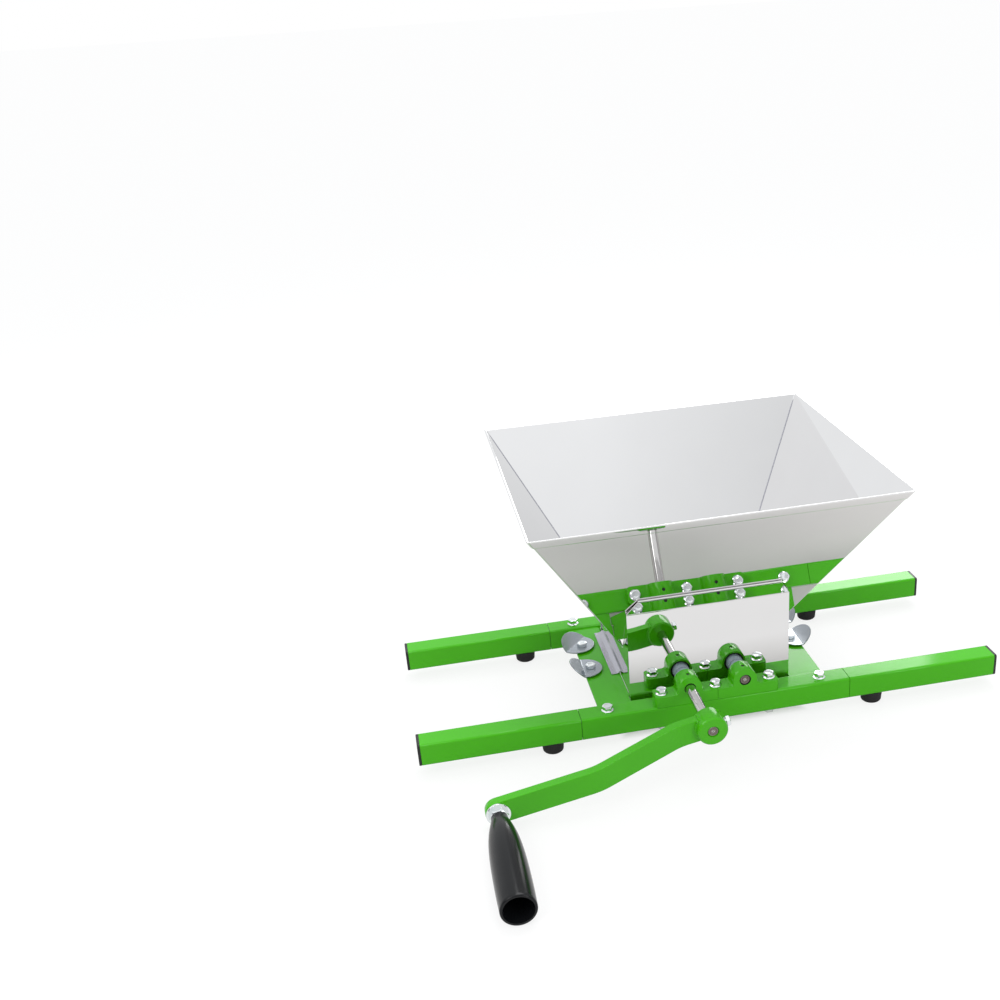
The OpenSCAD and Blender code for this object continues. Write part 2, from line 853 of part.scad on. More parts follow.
// Radius of the grip at share t of its length, from the neck to the open end
grip_profile_share = [
    [0, 0.47], [0.04, 0.52], [0.10, 0.63], [0.18, 0.76], [0.28, 0.87], [0.40, 0.945],
    [0.54, 0.985], [0.70, 1], [0.86, 0.995], [0.97, 0.975], [1, 0.94]
];

module grip() {
    color(black) at_crank() translate([crank_radius, grip_start, 0]) rotate([90, 0, 0])
        difference() {
            rotate_extrude() polygon(concat(
                [[0, 0]], [for (p = grip_profile_share) [p[1] * grip_d / 2, p[0] * grip_length]],
                [[0, grip_length]]
            ));
            translate([0, 0, -overrun]) cylinder(d = grip_bore_d, h = grip_length);
            translate([0, 0, grip_length - cup_depth]) cylinder(d = cup_d, h = grip_length);
        }
}

placed() front_rail();
placed() rear_rail();
placed() left_cross_plate();
placed() right_cross_plate();
placed() front_left_leg();
placed() front_right_leg();
placed() rear_left_leg();
placed() rear_right_leg();
placed() leg_connectors();
placed() leg_end_caps();
placed() rubber_feet();
placed() foot_studs();
placed() leg_lock_bolts();
placed() front_left_bearing();
placed() front_right_bearing();
placed() rear_left_bearing();
placed() rear_right_bearing();
placed() bearing_bolts();
placed() bearing_nuts();
placed() shaft_bushes();
placed() seal_rings();
placed() front_apron();
placed() rear_apron();
placed() left_skirt();
placed() right_skirt();
placed() hopper_front_wall();
placed() hopper_rear_wall();
placed() hopper_left_wall();
placed() hopper_right_wall();
placed() lock_disc_bolts();
placed() lock_disc_spacers();
placed() lock_disc_nuts();
placed() drive_shaft();
placed() drive_roller();
placed() drive_roller_pins();
placed() crank_hub();
placed() crank_arm();
placed() hub_set_screw();
placed() grip_bolt();
placed() grip_washer();
placed() grip_nut();
placed() driven_shaft();
placed() driven_roller();
placed() driven_roller_pins();
placed() grip();
placed() front_left_lock_disc();
placed() rear_left_lock_disc();
placed() front_right_lock_disc();
placed() rear_right_lock_disc();
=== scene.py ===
"""Apple scratter: paint, polished sheet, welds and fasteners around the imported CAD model."""
import math

import bmesh
import bpy
from bpy.props import FloatProperty, FloatVectorProperty, PointerProperty
from mathutils import Matrix, Vector


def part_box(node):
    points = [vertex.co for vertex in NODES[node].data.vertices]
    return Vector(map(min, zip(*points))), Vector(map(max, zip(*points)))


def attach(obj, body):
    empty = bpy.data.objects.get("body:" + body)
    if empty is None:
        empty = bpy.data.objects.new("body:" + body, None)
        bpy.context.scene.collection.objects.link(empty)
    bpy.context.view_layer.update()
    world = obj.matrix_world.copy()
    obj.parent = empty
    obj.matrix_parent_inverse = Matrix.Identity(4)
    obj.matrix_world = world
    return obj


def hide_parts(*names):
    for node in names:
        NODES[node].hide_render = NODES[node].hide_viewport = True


bl_info = {
    "name": "Apple scratter",
    "version": (1, 0, 0),
    "blender": (4, 5, 0),
    "location": "3D View > Sidebar > Scratter",
    "description": "Finishes and fine shapes for a hand-cranked apple scratter",
    "category": "Object",
}

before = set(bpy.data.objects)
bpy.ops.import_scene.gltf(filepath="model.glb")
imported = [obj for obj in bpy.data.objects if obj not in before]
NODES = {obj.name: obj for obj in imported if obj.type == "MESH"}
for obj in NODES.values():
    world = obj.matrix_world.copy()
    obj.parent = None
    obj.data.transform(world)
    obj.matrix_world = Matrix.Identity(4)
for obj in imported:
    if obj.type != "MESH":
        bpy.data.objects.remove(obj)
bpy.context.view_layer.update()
MM = 0.001

# Middle between the two rails, which is where the drawing's Y starts
SET_BACK = (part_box("front_rail")[0].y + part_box("rear_rail")[1].y) / 2

# Lengths of the drawing, in millimetres
SHEET = 1.2
HEM = 1.5  # how far the folded hem stands out from a hopper wall
CHAMBER_HALF = 87.0  # from the middle plane to a skirt's outer face
PLATE_FACE = -82.8  # the front plate's rear face, where the skirts end
RIM_HALF, RIM_TOP = 152.8, 263.5  # where the front wall's slope meets the rim, along Y and Z
STRIP_FRONT, STRIP_REAR = -28, 72
SHAFTS = (-30, 30)  # the two shafts, along X
FLANGE = 1.6  # thickness of the round flange under a bolt's head
CORNER = 6  # points in each rounded corner of the hopper


def at(x, y, z):
    """A point of the drawing, in millimetres, as a point of the row frame."""
    return Vector((x * MM, y * MM + SET_BACK, z * MM))


def middle(node):
    """The middle of a CAD node's box."""
    low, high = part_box(node)
    return (low + high) / 2


class Value:
    """A socket in a shader expression: each operator adds one Math node."""

    def __init__(self, graph, socket):
        self.graph, self.socket = graph, socket

    def maths(self, operation, *terms):
        return self.graph.node("ShaderNodeMath", {"operation": operation}, dict(enumerate(terms)))

    def __add__(self, other):
        return self.maths("ADD", self, other)

    def __mul__(self, other):
        return self.maths("MULTIPLY", self, other)

    def __sub__(self, other):
        return self.maths("SUBTRACT", self, other)

    def __rsub__(self, other):
        return self.maths("SUBTRACT", other, self)

    def __abs__(self):
        return self.maths("ABSOLUTE", self)

    def at_least(self, other):
        return self.maths("MAXIMUM", self, other)

    def at_most(self, other):
        return self.maths("MINIMUM", self, other)

    __radd__ = __add__
    __rmul__ = __mul__


class Graph:
    """The node tree of one material or of the world."""

    def __init__(self, tree):
        self.tree = tree
        tree.nodes.clear()

    def node(self, kind, settings=None, values=None, out=0):
        """Adds a node with its settings and inputs, and gives one output as a Value."""
        made = self.tree.nodes.new(kind)
        for key, value in (settings or {}).items():
            setattr(made, key, value)
        for key, value in (values or {}).items():
            if isinstance(value, Value):
                self.tree.links.new(value.socket, made.inputs[key])
            else:
                made.inputs[key].default_value = value
        return Value(self, made.outputs[out]) if made.outputs else made

    def noise(self, where, scale, detail, rough):
        return self.node(
            "ShaderNodeTexNoise", None,
            {"Vector": where, "Scale": scale, "Detail": detail, "Roughness": rough},
        )

    def stretched(self, where, scale):
        return self.node("ShaderNodeMapping", None, {"Vector": where, "Scale": scale})

    def parts(self, vector, *names):
        """The named components of a vector."""
        split = self.node("ShaderNodeSeparateXYZ", None, {"Vector": vector}, out="X").socket.node
        return [Value(self, split.outputs[name]) for name in names]

    def blend(self, factor, a, b):
        values = {0: factor, 6: a, 7: b}
        return self.node("ShaderNodeMix", {"data_type": "RGBA"}, values, out=2)

    def remap(self, value, low, high, to_low, to_high):
        values = {0: value, 1: low, 2: high, 3: to_low, 4: to_high}
        return self.node("ShaderNodeMapRange", {"clamp": True}, values)

    def bump(self, height, distance):
        values = {"Height": height, "Distance": distance, "Strength": 1.0}
        return self.node("ShaderNodeBump", None, values)


def rgba(colour, level=1.0):
    """A colour brought to a level, with its alpha."""
    return (*(min(1.0, c * level) for c in colour), 1.0)


def surface(name, build, **constants):
    """A material whose shader takes its constants here and the rest from build(graph, where)."""
    material = bpy.data.materials.new(name)
    material.use_nodes = True
    graph = Graph(material.node_tree)
    where = graph.node("ShaderNodeTexCoord", out="Object")
    values = {key.replace("_", " "): value for key, value in constants.items()}
    values.update(build(graph, where))
    shader = graph.node("ShaderNodeBsdfPrincipled", None, values)
    graph.node("ShaderNodeOutputMaterial", None, {"Surface": shader})
    material.diffuse_color = rgba((0.5, 0.5, 0.5))
    return material


def powder_green(looks):
    """Gloss powder coat with a fine orange peel."""
    def build(g, where):
        peel = g.noise(where, 520, 2, 0.55)
        broad = g.noise(where, 22, 3, 0.6)
        return {
            "Base Color": g.blend(broad, rgba(looks.green, 0.94), rgba(looks.green, 1.06)),
            "Roughness": 0.07 + peel * 0.06,
            "Normal": g.bump(peel, 0.000025),
        }
    return surface("powder_green", build, IOR=1.34)


def mirror_steel(looks, name="mirror_steel", rough=0.0):
    """Polished sheet: slow waves bend its reflections and faint clouds soften them."""
    def build(g, where):
        waves = g.noise(where, 7, 1, 0.4)
        clouds = g.noise(where, 14, 3, 0.6)
        return {
            "Base Color": g.blend(clouds, rgba(looks.steel, 0.98), rgba(looks.steel, 1.02)),
            "Roughness": rough + clouds * 0.035,
            "Normal": g.bump(waves, looks.sheet_wave * MM),
        }
    return surface(name, build, Metallic=1.0)


def brushed_steel(name, dark, light, lines, rough):
    """Sheet with a hairline grain; lines stretches the grain along each axis."""
    def build(g, where):
        hair = g.noise(g.stretched(where, lines), 500, 2, 0.5)
        clouds = g.noise(where, 40, 3, 0.6)
        return {
            "Base Color": g.blend(clouds, rgba(dark), rgba(light)),
            "Roughness": rough + hair * 0.10,
            "Normal": g.bump(hair, 0.000001),
        }
    return surface(name, build, Metallic=1.0)


def bright_zinc():
    """Zinc plate, mottled between a blue and a yellow tint."""
    def build(g, where):
        mottle = g.noise(where, 420, 3, 0.6)
        tint = g.noise(where, 120, 2, 0.5)
        return {
            "Base Color": g.blend(tint, (0.70, 0.76, 0.79, 1), (0.86, 0.87, 0.85, 1)),
            "Roughness": 0.05 + mottle * 0.09,
            "Normal": g.bump(mottle, 0.000015),
        }
    return surface("bright_zinc", build, Metallic=1.0)


def ground_steel():
    """Turned and ground bar: fine rings round the shaft."""
    def build(g, where):
        rings = g.noise(g.stretched(where, (0.05, 1, 0.05)), 2600, 3, 0.7)
        stain = g.noise(where, 60, 3, 0.6)
        return {
            "Base Color": g.blend(stain, (0.56, 0.55, 0.54, 1), (0.68, 0.67, 0.66, 1)),
            "Roughness": 0.06 + rings * 0.08,
            "Normal": g.bump(rings, 0.00001),
        }
    return surface("ground_steel", build, Metallic=1.0)


def cast_aluminium():
    """Bare casting with a coarse skin."""
    def build(g, where):
        grain = g.noise(where, 900, 3, 0.6)
        skin = g.noise(where, 90, 4, 0.6)
        return {
            "Base Color": g.blend(skin, (0.42, 0.43, 0.44, 1), (0.58, 0.58, 0.58, 1)),
            "Roughness": 0.36 + grain * 0.24,
            "Normal": g.bump(grain + skin * 2.0, 0.00012),
        }
    return surface("cast_aluminium", build, Metallic=0.9)


def plain_plastic(name, dark, light, rough, grain_size, depth, **more):
    """Moulded plastic or rubber: two near shades and a fine grain."""
    def build(g, where):
        grain = g.noise(where, grain_size, 2, 0.5)
        broad = g.noise(where, 35, 3, 0.6)
        return {
            "Base Color": g.blend(broad, rgba(dark), rgba(light)),
            "Roughness": rough + grain * 0.12,
            "Normal": g.bump(grain, depth),
        }
    return surface(name, build, **more)


def make_finishes(looks):
    """Every finish of the scratter, by its short name."""
    black, soot = (0.006, 0.006, 0.007), (0.012, 0.012, 0.013)
    return {
        "paint": powder_green(looks),
        "mirror": mirror_steel(looks),
        "brushed": brushed_steel(
            "brushed_steel", (0.40, 0.40, 0.44), (0.46, 0.46, 0.50), (1, 0.06, 1), 0.20),
        "dull": brushed_steel(
            "dull_steel", (0.33, 0.36, 0.39), (0.40, 0.43, 0.46), (1, 1, 1), 0.20),
        "bright_edge": mirror_steel(looks, "bright_edge", 0.5),
        "zinc": bright_zinc(),
        "ground": ground_steel(),
        "cast": cast_aluminium(),
        # Near-black steel for the leg connectors; seen through the seams between rails and legs,
        # its darkness is painted shade
        "seam_shade": plain_plastic(
            "seam_shade_steel", (0.02, 0.02, 0.022), (0.035, 0.035, 0.04), 0.4, 500, 0.00003,
            Metallic=0.6),
        "turned_end": plain_plastic(
            "turned_end", (0.16, 0.135, 0.12), (0.25, 0.215, 0.19), 0.28, 500, 0.00003,
            Metallic=0.8),
        "rubber": plain_plastic("black_rubber", black, soot, 0.55, 900, 0.00008, IOR=1.45),
        "cap": plain_plastic("satin_plastic", black, soot, 0.34, 1400, 0.00004, IOR=1.46),
        "nylon": plain_plastic(
            "pale_nylon", (0.27, 0.34, 0.40), (0.33, 0.40, 0.46), 0.30, 900, 0.00003, IOR=1.5),
        "grip": plain_plastic(
            "gloss_grip", (0.004, 0.004, 0.005), (0.007, 0.008, 0.009), 0.14, 700, 0.00003,
            IOR=1.32),
    }


# The material of each finish, by its short name
FINISHES = {}


def finish(name):
    """The material of a finish; all of them are made at the first call."""
    if name not in FINISHES:
        FINISHES.update(make_finishes(bpy.context.scene.scratter_looks))
    return FINISHES[name]


def bridge(bm, rings, closed=False):
    """Skins a row of rings with the same number of points, with lids unless it is closed."""
    made = [[bm.verts.new(point) for point in ring] for ring in rings]
    count = len(made[0])
    pairs = list(zip(made, made[1:] + ([made[0]] if closed else [])))
    for one, two in pairs:
        for i in range(count):
            j = (i + 1) % count
            bm.faces.new((one[i], one[j], two[j], two[i]))
    if not closed:
        bm.faces.new(reversed(made[0]))
        bm.faces.new(made[-1])


def cross_axes(axis):
    """Two unit vectors square to axis."""
    axis = Vector(axis).normalized()
    side = Vector((0, 0, 1)) if abs(axis.z) < 0.9 else Vector((1, 0, 0))
    across = axis.cross(side).normalized()
    return across, axis.cross(across)


def turned(bm, origin, axis, profile, count=48, closed=False):
    """Skins a profile of (distance along, radius), in millimetres, round an axis.

    A radius or a distance may be a function of the angle."""
    axis = Vector(axis).normalized()
    across, up = cross_axes(axis)
    rings = []
    for along, radius in profile:
        ring = []
        for k in range(count):
            a = 2 * math.pi * k / count
            r = radius(a) if callable(radius) else radius
            t = along(a) if callable(along) else along
            ring.append(origin + (axis * t + (across * math.cos(a) + up * math.sin(a)) * r) * MM)
        rings.append(ring)
    bridge(bm, rings, closed=closed)


def hex_radius(across_flats):
    def radius(a):
        sixth = math.pi / 3
        return across_flats / 2 / math.cos((a + sixth / 2) % sixth - sixth / 2)
    return radius


def shifted(along, by):
    """A distance, or a function of the angle that gives one, moved along the axis."""
    return (lambda a: along(a) + by) if callable(along) else along + by


def hex_head(across_flats, height):
    """Rows of a chamfered hex head from the dished top down to its seat at zero."""
    flat = across_flats / 2
    edge = hex_radius(across_flats)

    def crown(a):
        return -height + (edge(a) - flat * 0.93) * 0.55

    return [
        (0.25 - height, flat * 0.30), (0.16 - height, flat * 0.58), (-height, flat * 0.72),
        (-height, flat * 0.93), (crown, edge), (-0.45, edge), (-0.30, flat * 0.95),
        (0, flat * 0.95),
    ]


def thread(start, end, outer, pitch):
    """Rows of a screw thread between two distances along the axis."""
    rows = []
    step = pitch / 8
    for k in range(int((end - start) / step) + 1):
        along = start + k * step

        def radius(a, along=along):
            turn = (along / pitch - a / (2 * math.pi)) % 1
            return outer - 0.6 * pitch * abs(2 * turn - 1)

        rows.append((along, radius))
    return rows


def hex_bolt(bm, seat, axis, length, flange=0.0):
    """An M6 bolt that points along axis, seated on its head or on the head's round flange."""
    r, tail = 3.0, 2.0
    rows = [(shifted(along, -FLANGE if flange else 0), radius)
            for along, radius in hex_head(10.0, 4.0)]
    if flange:
        wide = flange / 2
        rows += [(-FLANGE, 5.0), (-1.25, 5.5), (-0.75, wide - 0.25), (-0.5, wide),
                 (-0.12, wide), (0, wide - 0.12)]
    rows += [(0, r), (length - tail, r)]
    rows += thread(length - tail, length - 0.7, r, 1.0)
    rows += [(length - 0.6, r * 0.8), (length, r * 0.72)]
    turned(bm, seat, axis, rows)


def prism(bm, outline, low, high, point):
    """A solid between two levels; point(u, v, level) places each corner."""
    bridge(bm, [[point(u, v, level) for u, v in outline] for level in (low, high)])


def fold_up(bm, fold, angle, radius, steps=8):
    """Bends a flat solid at u = fold.

    The solid is drawn in millimetres, with u along X and its thickness up Z."""
    start = fold - radius * math.tan(angle / 2)
    arc = radius * angle
    for k in range(steps + 1):
        bmesh.ops.bisect_plane(
            bm, geom=bm.verts[:] + bm.edges[:] + bm.faces[:],
            plane_co=(start + arc * k / steps, 0, 0), plane_no=(1, 0, 0))
    for vert in bm.verts:
        u, h = vert.co.x, vert.co.z
        t = min(max((u - start) / radius, 0), angle)
        on = u - start - arc if u > start + arc else 0
        base = u if u < start else start + radius * math.sin(t) + on * math.cos(angle)
        rise = 0 if u < start else radius * (1 - math.cos(t)) + on * math.sin(angle)
        vert.co.x, vert.co.z = base - h * math.sin(t), rise + h * math.cos(t)


def placed(bm, origin, u, w, h):
    """Moves a shape drawn in millimetres so that its axes run along u, w and h from origin."""
    turn = Matrix((Vector(u), Vector(w), Vector(h))).transposed().to_4x4()
    bm.transform(Matrix.Translation(origin) @ turn @ Matrix.Scale(MM, 4))
    return bm


def added(bm, other):
    """Takes the geometry of another bmesh into this one."""
    mesh = bpy.data.meshes.new("passing")
    other.to_mesh(mesh)
    other.free()
    bm.from_mesh(mesh)
    bpy.data.meshes.remove(mesh)


def bead(bm, path, radius, closed=False, ripple=0.16, pitch=1.6):
    """A weld bead of overlapping ripples along a path of points."""
    points = [Vector(p) for p in path]
    if closed:
        points.append(points[0])
    walked, total = [0.0], 0.0
    for one, two in zip(points, points[1:]):
        total += (two - one).length
        walked.append(total)
    steps = max(8, int(total / (pitch * MM / 5)))
    centres = []
    for k in range(steps if closed else steps + 1):
        s = total * k / steps
        i = max(j for j in range(len(points) - 1) if walked[j] <= s + 1e-9)
        span = walked[i + 1] - walked[i]
        centres.append(points[i].lerp(points[i + 1], (s - walked[i]) / span if span else 0))
    rings = []
    for k, centre in enumerate(centres):
        last = len(centres) - 1
        before = centres[k - 1] if (k or closed) else centres[0]
        after = centres[(k + 1) % len(centres)] if (k < last or closed) else centres[last]
        across, up = cross_axes(after - before)
        phase = total * k / steps / (pitch * MM) % 1
        r = radius * (1 - ripple + ripple * math.sqrt(max(0, 1 - (2 * phase - 1) ** 2)) * 1.6)
        if not closed:
            r *= min(1, 0.35 + 3 * min(k, last - k) / last * 6)
        rings.append([
            centre + (across * math.cos(a) + up * math.sin(a)) * r * MM
            for a in (2 * math.pi * j / 10 for j in range(10))
        ])
    bridge(bm, rings, closed=closed)


def piece(name, bm, finish_name, body, replaces=(), edge=0.0, sharp=30, flat=False):
    """Turns a bmesh into a smooth-shaded piece that rides on a body.

    edge rounds its edges, in millimetres; flat keeps the shading of its big faces even."""
    bmesh.ops.remove_doubles(bm, verts=bm.verts, dist=1e-7)
    bmesh.ops.recalc_face_normals(bm, faces=bm.faces)
    mesh = bpy.data.meshes.new(name)
    bm.to_mesh(mesh)
    bm.free()
    mesh.shade_smooth()
    mesh.set_sharp_from_angle(angle=math.radians(sharp))
    made = bpy.data.objects.new(name, mesh)
    bpy.context.scene.collection.objects.link(made)
    made.data.materials.append(finish(finish_name))
    if edge:
        soften(made, edge)
    if flat:
        made.modifiers.new("flat sides", "WEIGHTED_NORMAL").keep_sharp = True
    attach(made, body)
    if replaces:
        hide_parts(*replaces)
    return made


def soften(thing, width):
    """Rounds the edges of a piece by a bevel of the given width in millimetres."""
    bevel = thing.modifiers.new("soft edges", "BEVEL")
    bevel.width = width * MM
    bevel.segments = 2
    bevel.limit_method = "ANGLE"
    bevel.angle_limit = math.radians(30)
    bevel.harden_normals = True


def dress(names, finish_name, edge):
    """Gives CAD nodes their finish, and rounds their edges by modifiers."""
    for name in names:
        node = NODES[name]
        if node.material_slots:
            node.material_slots[0].material = finish(finish_name)
        else:
            node.data.materials.append(finish(finish_name))
        if edge:
            weld = node.modifiers.new("weld", "WELD")
            weld.merge_threshold = 1e-6
            flat = node.modifiers.new("flat faces", "DECIMATE")
            flat.decimate_type = "DISSOLVE"
            flat.angle_limit = math.radians(0.5)
            soften(node, edge)


class ScratterLooks(bpy.types.PropertyGroup):
    """Colours and surface of the finishes."""
    green: FloatVectorProperty(
        name="Green", description="Colour of the painted frame and crank", subtype="COLOR",
        size=3, min=0, max=1, default=(0.064, 0.455, 0.005))
    steel: FloatVectorProperty(
        name="Steel", description="Colour of the polished sheet", subtype="COLOR",
        size=3, min=0, max=1, default=(0.77, 0.765, 0.765))
    sheet_wave: FloatProperty(
        name="Sheet waves", description="Depth in mm of the slow waves in the polished sheet",
        min=0, max=2, default=0.25)


class ScratterSizes(bpy.types.PropertyGroup):
    """Sizes of the fine shapes that the CAD model leaves out."""
    paint_edge: FloatProperty(
        name="Painted edges", description="Rounding of painted edges, in mm",
        min=0.1, max=2, default=0.6)
    weld: FloatProperty(
        name="Weld bead", description="Radius of the weld beads, in mm",
        min=0.5, max=4, default=1.6)


class ScratterStudio(bpy.types.PropertyGroup):
    """Floor and light."""
    floor: FloatProperty(
        name="Floor", description="Paleness of the floor", min=0, max=1, default=0.60)
    sky: FloatProperty(
        name="Sky", description="Strength of the soft light all round", min=0, max=3, default=0.74)
    key: FloatProperty(
        name="Key lamp", description="Power of the lamp over the camera's left shoulder",
        unit="POWER", min=0, max=200, default=7)
    top: FloatProperty(
        name="Top lamp", description="Power of the wide lamp above the object",
        unit="POWER", min=0, max=200, default=15)
    rear: FloatProperty(
        name="Rear lamp", description="Power of the low lamp behind the right of the object",
        unit="POWER", min=0, max=200, default=6)
    front: FloatProperty(
        name="Front lamp", description="Power of the low lamp at the front on the right",
        unit="POWER", min=0, max=200, default=7)


def hopper_loop(offset, z):
    """The hopper's outline at height z, offset outward from its outer face."""
    rear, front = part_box("hopper_rear_wall")[1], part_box("hopper_front_wall")[0]
    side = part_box("hopper_right_wall")[1]
    drop = wall_run() * (rear.z / MM - z) - offset
    x = side.x / MM - HEM - drop
    y_front = front.y / MM + HEM + drop
    y_rear = rear.y / MM - HEM - drop
    r = max(0.7, 2.2 + offset)
    loop = []
    for cx, cy, turn in ((-x + r, y_front + r, 180), (x - r, y_front + r, 270),
                         (x - r, y_rear - r, 0), (-x + r, y_rear - r, 90)):
        for k in range(CORNER):
            a = math.radians(turn + 90 * k / (CORNER - 1))
            loop.append(Vector((cx + r * math.cos(a), cy + r * math.sin(a), z)) * MM)
    return loop


def wall_run():
    """Run of the hopper's walls for each unit of height."""
    low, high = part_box("hopper_right_wall")
    return (high.x / MM - HEM - CHAMBER_HALF) / (high.z / MM - low.z / MM)


def strip_section(base):
    """Section of the strip that lies on a cross plate, with its two easy bends."""
    upper = [(CHAMBER_HALF, 3.7), (87.8, 3.5), (90.4, 1.5), (91.4, 1.2), (96.7, 1.2)]
    lower = [(97, 0.9), (97, 0.3), (96.7, 0), (90.8, 0), (89.9, 0.3), (87.4, 2.3), (86.8, 2.5),
             (85.8, 2.5), (85.8, 3.7)]
    return [(x, base + z) for x, z in upper + lower]


def crank_point(out, y, up):
    """A point of the crank, from its distance along the arm, in front of it and above it."""
    grip, shaft = middle("grip"), middle("drive_shaft")
    along = Vector((grip.x - shaft.x, 0, grip.z - shaft.z)).normalized()
    square = Vector((along.z, 0, -along.x))
    return Vector((shaft.x, at(0, y, 0).y, shaft.z)) + (along * out + square * up) * MM


def smooth_rows(rows, steps):
    """Rows along a smooth curve through the given ones."""
    points = [rows[0], *rows, rows[-1]]
    made = []
    for a, b, c, d in zip(points, points[1:], points[2:], points[3:]):
        for k in range(steps):
            t = k / steps
            made.append(tuple(0.5 * (
                2 * q + (r - p) * t + (2 * p - 5 * q + 4 * r - s) * t * t
                + (3 * q - p - 3 * r + s) * t ** 3) for p, q, r, s in zip(a, b, c, d)))
    return made + [rows[-1]]


def inset_box(node, by):
    """A CAD node's box, drawn in by a distance in millimetres."""
    low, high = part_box(node)
    inward = Vector((by, by, by)) * MM
    return low + inward, high - inward


def disc_spots():
    """Places of the four lock disc bolts, from the spacers round them."""
    (left, near, _), (right, far, _) = inset_box("lock_disc_spacers", 6)
    return [(x, y) for x in (left, right) for y in (near, far)]


class SCRATTER_OT_frame(bpy.types.Operator):
    """Paint the rails, legs and cross plates, with the plates' welds and inner edges"""
    bl_idname = "scratter.frame"
    bl_label = "Frame"

    def execute(self, context):
        sizes = context.scene.scratter_sizes
        dress(("front_rail", "rear_rail", "front_left_leg", "front_right_leg",
               "rear_left_leg", "rear_right_leg"), "paint", 0.45)
        dress(("left_cross_plate", "right_cross_plate"), "paint", 0.4)
        # The connectors' near-black steel paints shade into the seams between rails and legs
        dress(("leg_connectors",), "seam_shade", 0)
        bm = bmesh.new()
        for name in ("left_cross_plate", "right_cross_plate"):
            low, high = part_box(name)
            for y in (low.y + 0.3 * MM, high.y - 0.3 * MM):
                for z, radius in ((low.z - 0.2 * MM, sizes.weld), (high.z - 0.5 * MM, 0.7)):
                    bead(bm, [(low.x + MM, y, z), (high.x - MM, y, z)], radius)
        piece("cross_plate_welds", bm, "paint", "frame")
        bm = bmesh.new()
        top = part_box("right_cross_plate")[1].z / MM
        ledge = [(88.5, -88.8), (91.2, -88.8), (91.2, 88.8), (88.5, 88.8), (88.5, 74.4),
                 (87.25, 74.4), (87.25, -74.4), (88.5, -74.4)]
        for side in (-1, 1):
            prism(bm, ledge, top - 2.4, top - 0.05, lambda u, v, z, side=side: at(side * u, v, z))
        piece("cross_plate_inner_edges", bm, "paint", "frame", edge=0.3)
        return {"FINISHED"}


class SCRATTER_OT_bearings(bpy.types.Operator):
    """Paint the four bearing blocks, finish their bushes and seals, and darken their oil holes and
    shaft mouths with painted shade
    """
    bl_idname = "scratter.bearings"
    bl_label = "Bearings"

    def execute(self, context):
        sizes = context.scene.scratter_sizes
        dress(("front_left_bearing", "front_right_bearing", "rear_left_bearing",
               "rear_right_bearing"), "paint", sizes.paint_edge)
        dress(("shaft_bushes",), "nylon", 0.25)
        dress(("seal_rings",), "rubber", 0.4)
        shaft = middle("drive_shaft").z / MM
        rail = -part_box("front_left_bearing")[0].y / MM + SET_BACK / MM
        # Painted shade: black discs sit in the oil holes to darken these recesses
        shade_discs, mouth_shades = bmesh.new(), bmesh.new()
        for x in SHAFTS:
            for end in (-1, 1):
                turned(shade_discs, at(x, end * (rail - 9), shaft + 11.2), (0, 0, 1), [
                    (0, 1.95), (1.0, 1.95), (1.2, 1.7)], 24)
                # Black ring lining each shaft mouth: painted shade in the gap round the shaft
                turned(mouth_shades, at(x, end * (rail - 0.3), shaft), (0, -end, 0), [
                    (0, 5.75), (0, 6.0), (0.25, 6.2), (2.5, 6.2), (2.5, 5.75)], 48, closed=True)
        piece("oil_hole_shade_discs", shade_discs, "rubber", "frame")
        piece("shaft_mouth_shade_rings", mouth_shades, "rubber", "frame")
        return {"FINISHED"}


class SCRATTER_OT_fasteners(bpy.types.Operator):
    """Make the hex bolts with their dished heads and threads, and finish the nuts"""
    bl_idname = "scratter.fasteners"
    bl_label = "Fasteners"

    def execute(self, context):
        flange, head = 13, 4
        for name, node, between in (("hex_bearing_bolts", "bearing_bolts", [0]),
                                    ("hex_lock_bolts", "leg_lock_bolts", [])):
            (left, near, _), (right, far, _) = inset_box(node, flange / 2)
            spots = [(x, y) for x in (left, *between, right) for y in (near, far)]
            self.bolts(name, node, spots, head + FLANGE, flange)
        self.bolts("hex_disc_bolts", "lock_disc_bolts", disc_spots(), head, 0)
        dress(("bearing_nuts", "lock_disc_nuts", "lock_disc_spacers", "foot_studs"), "zinc", 0.15)
        return {"FINISHED"}

    def bolts(self, name, node, spots, head, flange):
        """Bolts as one piece in place of a CAD node, each with its seat below its head."""
        low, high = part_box(node)
        bm = bmesh.new()
        for x, y in spots:
            seat = Vector((x, y, high.z - head * MM))
            hex_bolt(bm, seat, (0, 0, -1), (seat.z - low.z) / MM, flange)
        piece(name, bm, "zinc", "frame", (node,), 0.12)


